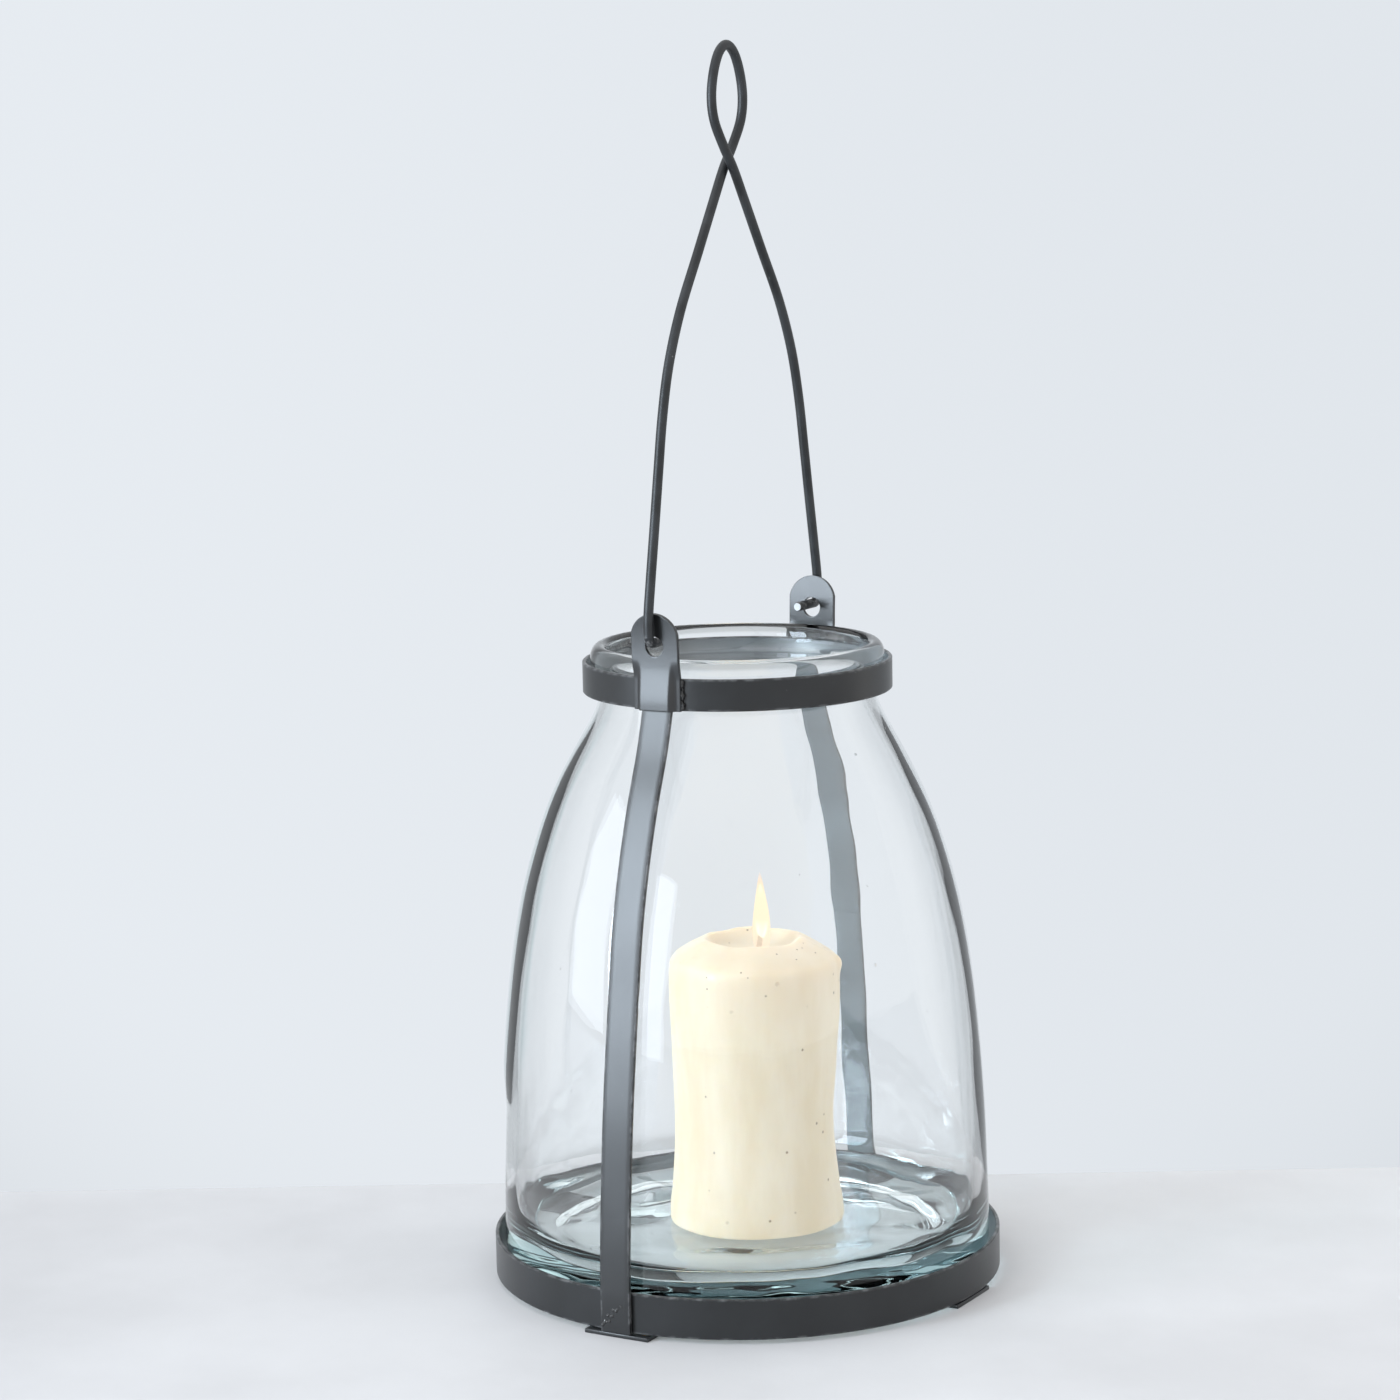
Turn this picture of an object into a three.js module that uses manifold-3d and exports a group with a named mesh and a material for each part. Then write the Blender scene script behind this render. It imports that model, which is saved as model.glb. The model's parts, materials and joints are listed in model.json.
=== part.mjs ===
// Candle lantern: a domed glass jar held captive in a welded frame of flat steel strip, with a wire
// bail handle that swings on two lugs, and a pillar candle that stands loose inside.
//
// Millimetres, +Z up. The origin is at floor level on the jar's axis. The bail swings about an axis
// along X, so the straps and lugs stand at -X (left) and +X (right).

import * as THREE from "three";
import { mergeVertices } from "three/addons/utils/BufferGeometryUtils.js";
import Module from "manifold-3d";

const wasm = await Module();
wasm.setup();

// ---------------------------------------------------------------- driving dimensions

const GAP = 0.3; // air left between two pieces that touch
const STRIP = 1.5; // thickness of all the flat steel

const foot = { width: 26.5, innerReach: 71, reachUnderStrap: 97.6, reachUnderHoop: 95.7 };
const lowerHoop = { radius: 96, height: 15, bottom: STRIP + GAP };
const upperHoop = { radius: 57.8, height: 11.7, bottom: 223.1 };
const strap = { width: 12 };
const lug = { width: 19.1, top: 258.4, archHeight: 6.6, holeRadius: 3.75, holeBelowTop: 12 };
const wire = { radius: 1.8, bendRadius: 3, legSpacing: 63.9, tipSpacing: 47.5, holeClearance: 0.5 };
const glass = { wall: 3.3, floorTop: 17.7, footInner: 76, footOuter: 80, pushUp: 5.6 };
const candle = { x: 1.9, y: -3.3, bottom: glass.floorTop + GAP, craterFloor: 122 };
const wick = { radius: 1.2, bottom: 28.3, top: 133 };

const segments = { jar: 48, hoop: 64, candle: 32 };
const WIRE_ARC = 4; // a round section gets twice as many sides as this

// ---------------------------------------------------------------- materials

const steel = new THREE.MeshStandardMaterial({ color: 0x3b3d41, roughness: 0.45, metalness: 0.6 });
const wireSteel = new THREE.MeshStandardMaterial({ color: 0x34363a, roughness: 0.4, metalness: 0.6 });
const clearGlass = new THREE.MeshStandardMaterial({
  color: 0xcfe3df,
  roughness: 0.03,
  metalness: 0,
  transparent: true,
  opacity: 0.35,
});
const wax = new THREE.MeshStandardMaterial({ color: 0xf3e8c8, roughness: 0.55, metalness: 0 });
const charredCotton = new THREE.MeshStandardMaterial({ color: 0x2a2421, roughness: 0.95, metalness: 0 });

// ---------------------------------------------------------------- shape helpers

const vectors = (pairs) => pairs.map(([a, b]) => new THREE.Vector2(a, b));

// Points of a smooth line through [radius, height] pairs, from the first to the last.
function smoothLine(pairs, stepsPerSpan) {
  return new THREE.SplineCurve(vectors(pairs)).getPoints((pairs.length - 1) * stepsPerSpan);
}

// The same line moved sideways: to its left as it is walked, by the distance.
function offsetLine(line, distance) {
  return line.map((point, i) => {
    const before = line[Math.max(i - 1, 0)];
    const after = line[Math.min(i + 1, line.length - 1)];
    const along = after.clone().sub(before).normalize();
    return new THREE.Vector2(point.x - along.y * distance, point.y + along.x * distance);
  });
}

// Points on an ellipse from one angle to another, in degrees, both ends included.
function arc(centreX, centreY, radiusX, radiusY, fromDeg, toDeg, steps) {
  const points = [];
  for (let i = 0; i <= steps; i++) {
    const angle = THREE.MathUtils.degToRad(fromDeg + ((toDeg - fromDeg) * i) / steps);
    points.push(
      new THREE.Vector2(centreX + radiusX * Math.cos(angle), centreY + radiusY * Math.sin(angle)),
    );
  }
  return points;
}

// A turned solid about +Z, from an outline of (radius, height) walked with the solid on its left.
function turned(outline, segmentCount) {
  return new THREE.LatheGeometry(outline, segmentCount).rotateX(Math.PI / 2);
}

// A prism from an outline in the X-Z plane, centred on Y.
function prismAcrossY(outline, width) {
  const solid = new THREE.ExtrudeGeometry(new THREE.Shape(outline), { depth: width, bevelEnabled: false });
  return solid.rotateX(Math.PI / 2).translate(0, width / 2, 0);
}

// A prism from a shape drawn in the Y-Z plane, standing from x up to x + depth.
function prismAlongX(shape, x, depth) {
  const solid = new THREE.ExtrudeGeometry(shape, { depth, bevelEnabled: false, curveSegments: 10 });
  const drawnInYZ = new THREE.Matrix4().makeBasis(
    new THREE.Vector3(0, 1, 0),
    new THREE.Vector3(0, 0, 1),
    new THREE.Vector3(1, 0, 0),
  );
  return solid.applyMatrix4(drawnInYZ).translate(x, 0, 0);
}

function joined(geometries) {
  const solids = geometries.map((geometry) => {
    const bare = geometry.clone();
    bare.deleteAttribute("normal");
    bare.deleteAttribute("uv");
    const welded = mergeVertices(bare, 1e-3);
    return new wasm.Manifold(
      new wasm.Mesh({
        numProp: 3,
        vertProperties: welded.attributes.position.array,
        triVerts: new Uint32Array(welded.index.array),
      }),
    );
  });
  const mesh = solids.reduce((sum, solid) => sum.add(solid)).getMesh();
  const result = new THREE.BufferGeometry();
  result.setAttribute("position", new THREE.BufferAttribute(mesh.vertProperties, 3));
  result.setIndex(new THREE.BufferAttribute(mesh.triVerts, 1));
  result.computeVertexNormals();
  return result;
}

const lantern = new THREE.Group();

function add(name, geometry, material, turnDeg = 0) {
  const mesh = new THREE.Mesh(geometry, material);
  mesh.name = name;
  mesh.rotation.z = THREE.MathUtils.degToRad(turnDeg);
  lantern.add(mesh);
}

// ---------------------------------------------------------------- welded steel frame

// A ring of flat strip standing on its edge.
function hoopGeometry({ radius, height, bottom }) {
  const inner = radius - STRIP;
  const top = bottom + height;
  const outline = vectors([
    [inner, bottom],
    [radius, bottom],
    [radius, top],
    [inner, top],
    [inner, bottom],
  ]);
  return turned(outline, segments.hoop);
}

// A short plate that lies flat under the hoop and reaches in under the rim of the jar's foot. The
// two below the straps stick out a little further.
function footGeometry(outerReach) {
  const length = outerReach - foot.innerReach;
  const middle = (outerReach + foot.innerReach) / 2;
  return new THREE.BoxGeometry(length, foot.width, STRIP).translate(middle, 0, STRIP / 2);
}

// A strap runs up outside both hoops. Its outer face leaves the lower hoop upright, follows the
// dome of the jar and bends upright again against the upper hoop.
function strapGeometry() {
  const foot = lowerHoop.radius + GAP + STRIP;
  const head = upperHoop.radius + GAP + STRIP;
  const bend = smoothLine(
    [
      [foot, lowerHoop.bottom + lowerHoop.height],
      [97.3, 34],
      [95.6, 57],
      [93.5, 80],
      [90.9, 101],
      [87.8, 122.5],
      [83.9, 147],
      [78.5, 169],
      [71.6, 190],
      [64, 209],
      [head, upperHoop.bottom],
    ],
    2,
  );
  const outerFace = [
    new THREE.Vector2(foot, lowerHoop.bottom),
    ...bend,
    new THREE.Vector2(head, upperHoop.bottom + upperHoop.height - GAP),
  ];
  const innerFace = offsetLine(outerFace, STRIP).reverse();
  return prismAcrossY([...outerFace, ...innerFace], strap.width);
}

// A lug is a tab with a round top and a hole for the bail. Its lower half is pressed out over the
// head of the strap, with a wing on each side that lies against the hoop.
function lugGeometry() {
  const hoopFace = upperHoop.radius + GAP;
  const tabBack = hoopFace + STRIP + GAP;
  const tabFront = tabBack + STRIP;
  const half = lug.width / 2;
  const tabBottom = upperHoop.bottom + upperHoop.height;

  const onCircle = (radius, y) => [Math.sqrt(radius * radius - y * y), y];
  const frontSide = [
    [tabFront, 5.9],
    [hoopFace + STRIP + 0.1, 8.3],
    onCircle(hoopFace + STRIP, half),
  ];
  const backSide = [
    onCircle(hoopFace, half),
    onCircle(hoopFace, 7),
    [tabBack, strap.width / 2 + GAP],
  ];
  const oneSide = [...frontSide, ...backSide];
  const otherSide = oneSide.map(([x, y]) => [x, -y]).reverse();
  const hatShape = new THREE.Shape(vectors([...oneSide, ...otherSide]));
  const hatHeight = tabBottom - upperHoop.bottom + 1;
  const hat = new THREE.ExtrudeGeometry(hatShape, { depth: hatHeight, bevelEnabled: false });
  hat.translate(0, 0, upperHoop.bottom);

  const archRadius = (half * half + lug.archHeight * lug.archHeight) / (2 * lug.archHeight);
  const archReach = Math.asin(half / archRadius);
  const tabShape = new THREE.Shape();
  tabShape.moveTo(-half, tabBottom);
  tabShape.lineTo(half, tabBottom);
  tabShape.lineTo(half, lug.top - lug.archHeight);
  tabShape.absarc(0, lug.top - archRadius, archRadius, Math.PI / 2 - archReach, Math.PI / 2 + archReach);
  tabShape.closePath();
  const hole = new THREE.Path();
  hole.absarc(0, lug.top - lug.holeBelowTop, lug.holeRadius, 0, 2 * Math.PI, true);
  tabShape.holes.push(hole);
  return joined([hat, prismAlongX(tabShape, tabBack, STRIP)]);
}

// ---------------------------------------------------------------- bail handle

// One bent wire. Steps follow the points that steer it, so that the tight bends get more of them.
class BentWire extends THREE.CatmullRomCurve3 {
  getUtoTmapping(u) {
    return u;
  }
}

// Half of the wire from its inner tip, through the lug's hole and up to the crossing, as [distance
// from the middle, height, share of the strand offset]. The strands pass each other at the crossing,
// one in front of the other.
function legPoints() {
  const pivotHeight = lug.top - lug.holeBelowTop + lug.holeRadius - wire.radius - wire.holeClearance;
  const bendX = wire.legSpacing - wire.bendRadius;
  const bend = arc(bendX, pivotHeight + wire.bendRadius, wire.bendRadius, wire.bendRadius, 270, 360, 3);
  return [
    [wire.tipSpacing, pivotHeight, 0],
    [bendX - 5, pivotHeight, 0],
    ...bend.map((point) => [point.x, point.y, 0]),
    [wire.legSpacing, 258, 0],
    [61.9, 270, 0],
    [58.2, 290, 0],
    [54.8, 309, 0],
    [51.2, 328, 0],
    [45.9, 346.5, 0],
    [36.8, 365.5, 0],
    [22.4, 385.5, 0.3],
    [8, 404.5, 0.8],
  ];
}

// Half of the loop at the top, from above the crossing to below the crown, in the same form.
const loopPoints = [
  [5.9, 423.5, 0.7],
  [10.6, 432.5, 0.25],
  [11.5, 441, 0],
  [9.7, 449.8, 0],
  [5.6, 457, 0],
];
const crossingHeight = 415.2;
const crownHeight = 459.9;

function bailGeometry() {
  const strandOffset = wire.radius + 0.25;
  const strand = (points, side, face) =>
    points.map(([x, z, share]) => new THREE.Vector3(side * x, face * share * strandOffset, z));
  const front = -1;
  const back = 1;
  const points = [
    ...strand(legPoints(), 1, front),
    ...strand([[0, crossingHeight, 1]], 1, front),
    ...strand(loopPoints, -1, front),
    ...strand([[0, crownHeight, 0]], 1, front),
    ...strand(loopPoints, 1, back).reverse(),
    ...strand([[0, crossingHeight, 1]], 1, back),
    ...strand(legPoints(), -1, back).reverse(),
  ];
  const section = new THREE.Shape();
  section.absarc(0, 0, wire.radius, 0, 2 * Math.PI);
  return new THREE.ExtrudeGeometry(section, {
    steps: (points.length - 1) * 2,
    curveSegments: WIRE_ARC,
    extrudePath: new BentWire(points),
  });
}

// ---------------------------------------------------------------- glass jar

// Thick blown glass: a foot ring, a wide domed body, a narrow neck and a rolled rim.
function jarGeometry() {
  const bodyRadius = 92.3;
  const cornerTop = 14;
  const footHeight = STRIP + GAP;
  const body = smoothLine(
    [
      [bodyRadius, cornerTop],
      [91.7, 45],
      [89.9, 79],
      [87, 111],
      [83, 138.5],
      [77.5, 161],
      [69.3, 184],
      [59.7, 203.5],
      [52.8, 217],
      [50.5, 227],
    ],
    2,
  );
  const footCorner = arc(
    glass.footOuter,
    cornerTop,
    bodyRadius - glass.footOuter,
    cornerTop - footHeight,
    270,
    345,
    4,
  );
  const rim = arc(51.45, 235.4, 3.65, 5.6, -60, 180, 8);
  const innerBody = offsetLine(body.slice(2), glass.wall)
    .filter((_, i) => i % 2 === 0)
    .reverse();
  const innerCornerRadius = 14;
  const innerCornerX = innerBody[innerBody.length - 1].x - innerCornerRadius;
  const innerCorner = arc(
    innerCornerX,
    glass.floorTop + innerCornerRadius,
    innerCornerRadius,
    innerCornerRadius,
    0,
    -90,
    4,
  );
  const outline = [
    ...vectors([
      [0, glass.pushUp],
      [glass.footInner - 6, glass.pushUp],
      [glass.footInner, footHeight],
    ]),
    ...footCorner,
    ...body,
    ...rim,
    ...innerBody,
    ...innerCorner,
    ...vectors([[0, glass.floorTop]]),
  ];
  return turned(outline, segments.jar);
}

// ---------------------------------------------------------------- candle

// A pillar that has burned a little: a soft waist, a sunken crater with a thin lip, and a bore down
// its middle for the wick.
function candleGeometry() {
  const boreRadius = wick.radius + GAP;
  const side = smoothLine(
    [
      [33.2, candle.bottom + 1.2],
      [31.6, 34],
      [30, 57],
      [31.2, 80],
      [32.2, 104],
      [32.1, 117],
    ],
    2,
  );
  const shoulder = vectors([
    [30.4, 120.6],
    [26, 124.6],
    [22.3, 127.6],
    [20.8, 128.2],
    [19.4, 127.4],
    [17.4, 124.2],
    [13, candle.craterFloor],
    [boreRadius, candle.craterFloor],
    [boreRadius, wick.bottom - GAP],
    [0, wick.bottom - GAP],
  ]);
  const outline = [...vectors([[0, candle.bottom], [32.4, candle.bottom]]), ...side, ...shoulder];
  return turned(outline, segments.candle).translate(candle.x, candle.y, 0);
}

// The wick stands straight in its bore and curls over a little above the wax.
function wickGeometry() {
  const route = new THREE.CatmullRomCurve3([
    new THREE.Vector3(candle.x, candle.y, wick.bottom),
    new THREE.Vector3(candle.x, candle.y, 75),
    new THREE.Vector3(candle.x, candle.y, candle.craterFloor),
    new THREE.Vector3(candle.x + 0.4, candle.y - 0.6, 127.5),
    new THREE.Vector3(candle.x + 1.3, candle.y - 2.2, wick.top),
  ]);
  const section = new THREE.Shape();
  section.absarc(0, 0, wick.radius, 0, 2 * Math.PI);
  return new THREE.ExtrudeGeometry(section, {
    steps: 24,
    curveSegments: WIRE_ARC,
    extrudePath: route,
  });
}

// ---------------------------------------------------------------- assembly

const LEFT = 180; // a left piece is the right piece turned half round
const BACK = 90;
const FRONT = -90;

add("right_foot", footGeometry(foot.reachUnderStrap), steel);
add("left_foot", footGeometry(foot.reachUnderStrap), steel, LEFT);
add("back_foot", footGeometry(foot.reachUnderHoop), steel, BACK);
add("front_foot", footGeometry(foot.reachUnderHoop), steel, FRONT);
add("lower_hoop", hoopGeometry(lowerHoop), steel);
add("upper_hoop", hoopGeometry(upperHoop), steel);
add("right_strap", strapGeometry(), steel);
add("left_strap", strapGeometry(), steel, LEFT);
add("right_lug", lugGeometry(), steel);
add("left_lug", lugGeometry(), steel, LEFT);
add("bail_handle", bailGeometry(), wireSteel);
add("glass_jar", jarGeometry(), clearGlass);
add("candle", candleGeometry(), wax);
add("wick", wickGeometry(), charredCotton);

export default lantern;
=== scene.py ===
import json
import math

import bmesh
import bpy
from mathutils import Matrix, Vector, noise


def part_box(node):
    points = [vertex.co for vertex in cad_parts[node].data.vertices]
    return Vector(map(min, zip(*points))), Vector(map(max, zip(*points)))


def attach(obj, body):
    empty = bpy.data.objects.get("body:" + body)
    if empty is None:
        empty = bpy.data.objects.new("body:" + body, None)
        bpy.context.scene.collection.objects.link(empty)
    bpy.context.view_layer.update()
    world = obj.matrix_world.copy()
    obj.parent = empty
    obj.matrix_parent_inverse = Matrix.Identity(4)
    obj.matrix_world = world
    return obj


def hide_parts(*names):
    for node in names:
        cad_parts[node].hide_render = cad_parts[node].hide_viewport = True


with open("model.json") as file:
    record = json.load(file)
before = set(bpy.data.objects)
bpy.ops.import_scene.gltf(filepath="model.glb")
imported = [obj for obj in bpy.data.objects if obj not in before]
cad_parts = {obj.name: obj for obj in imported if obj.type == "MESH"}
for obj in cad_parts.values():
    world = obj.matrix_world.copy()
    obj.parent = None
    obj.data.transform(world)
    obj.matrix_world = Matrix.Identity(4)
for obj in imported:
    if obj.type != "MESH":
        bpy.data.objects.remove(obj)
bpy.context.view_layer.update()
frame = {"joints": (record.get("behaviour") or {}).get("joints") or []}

# A candle lantern: a thick domed glass jar in a welded frame of flat steel strip, a wire bail with
# a twisted loop, and a lit pillar candle. Metres, +Z up; a length times MM is in millimetres, and
# outlines and routes are lists in millimetres.

MM = 0.001
STRIP = 1.5 * MM
GAP = 0.3 * MM


# ---------------------------------------------------------------- shader kit

class Shade:
    """A socket in a node tree. Arithmetic on it adds Math nodes, and node() adds any other."""

    def __init__(self, tree, socket=None):
        self.tree = tree
        self.socket = socket

    def node(self, kind, settings=None, values=None, out=0):
        made = self.tree.nodes.new(kind)
        for name, setting in (settings or {}).items():
            if name == "stops":
                set_stops(made.color_ramp, setting)
            else:
                setattr(made, name, setting)
        for name, value in (values or {}).items():
            if isinstance(value, Shade):
                self.tree.links.new(value.socket, made.inputs[name])
            else:
                made.inputs[name].default_value = value
        return Shade(self.tree, made.outputs[out])

    def math(self, operation, *values):
        return self.node("ShaderNodeMath", {"operation": operation}, dict(enumerate(values)))

    def __add__(self, other):
        return self.math("ADD", self, other)

    def __radd__(self, other):
        return self.math("ADD", other, self)

    def __sub__(self, other):
        return self.math("SUBTRACT", self, other)

    def __rsub__(self, other):
        return self.math("SUBTRACT", other, self)

    def __mul__(self, other):
        return self.math("MULTIPLY", self, other)

    def __rmul__(self, other):
        return self.math("MULTIPLY", other, self)

    def __truediv__(self, other):
        return self.math("DIVIDE", self, other)

    def __abs__(self):
        return self.math("ABSOLUTE", self)

    def smooth(self, low, high):
        """0 below low, 1 above high, with a soft step between; low may be the larger."""
        span = {"Value": self, "From Min": low, "From Max": high}
        return self.node("ShaderNodeMapRange", {"interpolation_type": "SMOOTHSTEP"}, span)

    def mapped(self, scale=(1, 1, 1), move=(0, 0, 0), turn=(0, 0, 0)):
        change = {"Vector": self, "Scale": scale, "Location": move, "Rotation": turn}
        return self.node("ShaderNodeMapping", None, change)

    def clouds(self, scale, detail=4.0, roughness=0.55):
        """Noise about 0.5, with this many cycles to the metre."""
        values = {"Vector": self, "Scale": scale, "Detail": detail, "Roughness": roughness}
        return self.node("ShaderNodeTexNoise", None, values)

    def spots(self, scale, size, share=0.5):
        """1 in round spots of this size in cells of 1/scale, in this share of the cells."""
        cells = {"Vector": self, "Scale": scale, "Randomness": 1.0}
        distance = self.node("ShaderNodeTexVoronoi", {"feature": "F1"}, cells)
        colour = self.node("ShaderNodeTexVoronoi", {"feature": "F1"}, cells, out=1)
        chosen = colour.axis("X").math("LESS_THAN", colour.axis("X"), share)
        return distance.smooth(size, size * 0.4) * chosen

    def axis(self, letter):
        return self.node("ShaderNodeSeparateXYZ", None, {"Vector": self}, out="XYZ".index(letter))

    def mix(self, low, high):
        """The colour low where this is 0, and high where it is 1."""
        picked = {0: self, 6: low, 7: high}
        return self.node("ShaderNodeMix", {"data_type": "RGBA"}, picked, out=2)

    def bump(self, distance, strength=1.0):
        values = {"Height": self, "Distance": distance, "Strength": strength}
        return self.node("ShaderNodeBump", None, values)


def set_stops(ramp, stops):
    while len(ramp.elements) < len(stops):
        ramp.elements.new(0.5)
    for element, (position, colour) in zip(ramp.elements, stops):
        element.position = position
        element.color = colour


def grey(value, warmth=0.0):
    return (value * (1 + warmth), value, value * (1 - warmth), 1.0)


def new_material(name, fixed):
    """A Principled material with its constants set, its shader, and its Object coordinates."""
    material = bpy.data.materials.new(name)
    material.use_nodes = True
    shader = material.node_tree.nodes["Principled BSDF"]
    for socket, value in fixed.items():
        shader.inputs[socket].default_value = value
    place = Shade(material.node_tree).node("ShaderNodeTexCoord", out="Object")
    return material, shader, place


def drive(material, shader, **varying):
    """Links what changes over the surface: keyword Base_Color feeds the socket Base Color."""
    for name, value in varying.items():
        material.node_tree.links.new(value.socket, shader.inputs[name.replace("_", " ")])


# ---------------------------------------------------------------- materials

STEEL_GREY = (0.0115, 0.0128, 0.014)
# The grey for faces that look in at the jar is lighter: painted sheen, standing for the light those
# faces catch behind the glass.
INSIDE_SHEEN_GREY = (0.1, 0.108, 0.116)
RUBBED_STEEL = grey(0.34, -0.02)
COAT_IOR = 1.6
HOOP_IOR = 1.5
DARKER = 0.8
LIGHTER = 1.22
PEEL_DEPTH = 0.06 * MM
WIRE_DARK = (0.015, 0.0165, 0.018, 1)
WIRE_PALE = (0.03, 0.033, 0.036, 1)
RUBBED_WIRE = grey(0.42)
WIRE_TIP_X = 47.5 * MM
WIRE_WEAR_REACH = 4.5 * MM
WIRE_GRAIN_DEPTH = 0.05 * MM
BURNT_METAL = grey(0.045)
BRIGHT_METAL = grey(0.5)
WELD_RELIEF = 0.3 * MM

CLEAR_GLASS = (1, 1, 1, 1)
STREAKED_GLASS = (0.8, 0.93, 0.94, 1)
STREAK_BEARING = math.radians(115)
GLASS_SHADOW = (0.93, 0.96, 0.955, 1)
GLASS_DEPTH = {"Color": (0.4, 0.86, 0.88, 1), "Density": 4.2}
GLASS_IOR = 1.5
GLASS_RELIEF = 1.8 * MM

WAX_IVORY = (0.33, 0.276, 0.189, 1)
WAX_FROSTED = (0.363, 0.318, 0.24, 1)
WAX_WARM = (0.377, 0.307, 0.224, 1)
WAX_GRIME = (0.1, 0.065, 0.035, 1)
WAX_GLOW = (0.94, 1.0, 1.1)
WAX_RELIEF = 0.6 * MM
CLEAN_COTTON = (0.5, 0.4, 0.26, 1)
CHARRED_COTTON = (0.018, 0.014, 0.012, 1)
BRAID_RELIEF = 0.4 * MM
NO_LIGHT = (0, 0, 0, 1)
EMBER = (1.0, 0.25, 0.04, 1)


def powder_coat(name, colour, edge=None, ior=COAT_IOR):
    """Dark satin powder coat: an orange-peel skin, faint mottling, specks and hairline scratches.
    edge(place) gives 1 on the strip's edges, where the coat is rubbed lighter."""
    material, shader, place = new_material(name, {"IOR": ior})
    mottling = place.clouds(45, 3)
    peel = place.clouds(900, 2)
    grain = place.clouds(2600, 1)
    specks = place.spots(150, 0.05, 0.22)
    streaks = place.mapped(scale=(1, 1, 0.12), turn=(0.5, 0.3, 0.2)).clouds(420, 2)
    scratches = streaks.smooth(0.735, 0.78) * place.clouds(30, 1).smooth(0.5, 0.62)
    rubbed = scratches * 0.55 + specks * 0.6
    if edge is not None:
        rubbed = rubbed + edge(place) * place.clouds(260, 3).smooth(0.42, 0.68) * 0.55
    rubbed = rubbed.math("MINIMUM", rubbed, 1.0)
    dark = [channel * DARKER for channel in colour]
    light = [channel * LIGHTER for channel in colour]
    coat = mottling.smooth(0.3, 0.7).mix((*dark, 1), (*light, 1))
    shown = (rubbed * 0.6).mix(coat, RUBBED_STEEL)
    height = peel * 0.6 + grain * 0.25 - rubbed * 0.4
    drive(
        material,
        shader,
        Base_Color=shown,
        Roughness=0.24 + mottling * 0.09 + grain * 0.06 - rubbed * 0.05,
        Metallic=rubbed * 0.6,
        Normal=height.bump(PEEL_DEPTH, 0.55),
    )
    return material


def hoop_edges(low, high):
    """Marks the top and bottom edges of a strip that stands between two heights."""
    middle = (low + high) / 2
    half = (high - low) / 2
    start, full = half - 1.1 * MM, half - 0.2 * MM
    return lambda place: abs(place.axis("Z") - middle).smooth(start, full)


def strap_edges(width):
    """Marks the two long edges of a strip centred on the plane through both straps."""
    half = width / 2
    return lambda place: abs(place.axis("Y")).smooth(half - 0.9 * MM, half - 0.1 * MM)


def bail_pivot_height():
    return next(joint for joint in frame["joints"] if joint["name"] == "bail_swing")["pos_m"][2]


def wire_coat():
    """The same coat on wire, worn through where it rubs in the lugs and at its cut ends."""
    material, shader, place = new_material("bail_coat", {"Specular IOR Level": 0.5})
    mottling = place.clouds(60, 3)
    grain = place.clouds(1900, 2)
    specks = place.spots(170, 0.06, 0.3)
    near_lug = abs(place.axis("Z") - bail_pivot_height()).smooth(WIRE_WEAR_REACH, 1 * MM)
    tip = abs(place.axis("X")).smooth(WIRE_TIP_X + 0.4 * MM, WIRE_TIP_X - 0.1 * MM)
    rubbed = near_lug * place.clouds(500, 3).smooth(0.5, 0.66) * 0.5 + specks * 0.5
    rubbed = rubbed.math("MINIMUM", rubbed + tip * near_lug, 1.0)
    coat = mottling.smooth(0.35, 0.65).mix(WIRE_DARK, WIRE_PALE)
    drive(
        material,
        shader,
        Base_Color=(rubbed * 0.8).mix(coat, RUBBED_WIRE),
        Roughness=0.3 + mottling * 0.14 + grain * 0.08,
        Metallic=0.3 + rubbed * 0.6,
        Normal=grain.bump(WIRE_GRAIN_DEPTH, 0.4),
    )
    return material


def weld_metal():
    """Rough burnt weld metal with bright spatter."""
    material, shader, place = new_material("weld_metal", {})
    lumps = place.clouds(700, 4)
    bright = place.clouds(1500, 3).smooth(0.6, 0.72)
    drive(
        material,
        shader,
        Base_Color=bright.mix(BURNT_METAL, BRIGHT_METAL),
        Roughness=0.5 - bright * 0.22,
        Metallic=0.5 + bright * 0.4,
        Normal=lumps.bump(WELD_RELIEF, 0.8),
    )
    return material


def jar_glass():
    """Thick clear recycled glass, blue-green in its depth, with faint waves and pin bubbles, and a
    teal streak up one side. Lamps shine through it as through a clear sheet."""
    fixed = {"Transmission Weight": 1.0, "IOR": GLASS_IOR, "Base Color": CLEAR_GLASS}
    material, shader, place = new_material("jar_glass", fixed)
    waves = place.mapped(scale=(1, 1, 0.35)).clouds(28, 2, 0.4)
    bubbles = place.spots(75, 0.05, 0.25)
    smears = place.mapped(scale=(1, 1, 0.5)).clouds(60, 4).smooth(0.6, 0.8)
    height = place.axis("Z")
    side = place.mapped(turn=(0, 0, -STREAK_BEARING))
    off_bearing = abs(side.axis("Y") / side.axis("X"))
    streak = off_bearing.smooth(0.24, 0.02) * side.axis("X").smooth(0, 0.02)
    streak = streak * height.smooth(66 * MM, 90 * MM) * height.smooth(235 * MM, 190 * MM)
    drive(
        material,
        shader,
        Base_Color=streak.mix(CLEAR_GLASS, STREAKED_GLASS),
        Roughness=smears * 0.02,
        Normal=(waves + bubbles * 0.12).bump(GLASS_RELIEF, 0.5),
    )
    tree = material.node_tree
    output = tree.nodes["Material Output"]
    start = Shade(tree)
    lamp_ray = start.node("ShaderNodeLightPath", out="Is Shadow Ray")
    clear = start.node("ShaderNodeBsdfTransparent", None, {"Color": GLASS_SHADOW})
    surface = start.node(
        "ShaderNodeMixShader", None, {0: lamp_ray, 1: Shade(tree, shader.outputs[0]), 2: clear}
    )
    depth = start.node("ShaderNodeVolumeAbsorption", None, GLASS_DEPTH)
    tree.links.new(surface.socket, output.inputs["Surface"])
    tree.links.new(depth.socket, output.inputs["Volume"])
    return material


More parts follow.
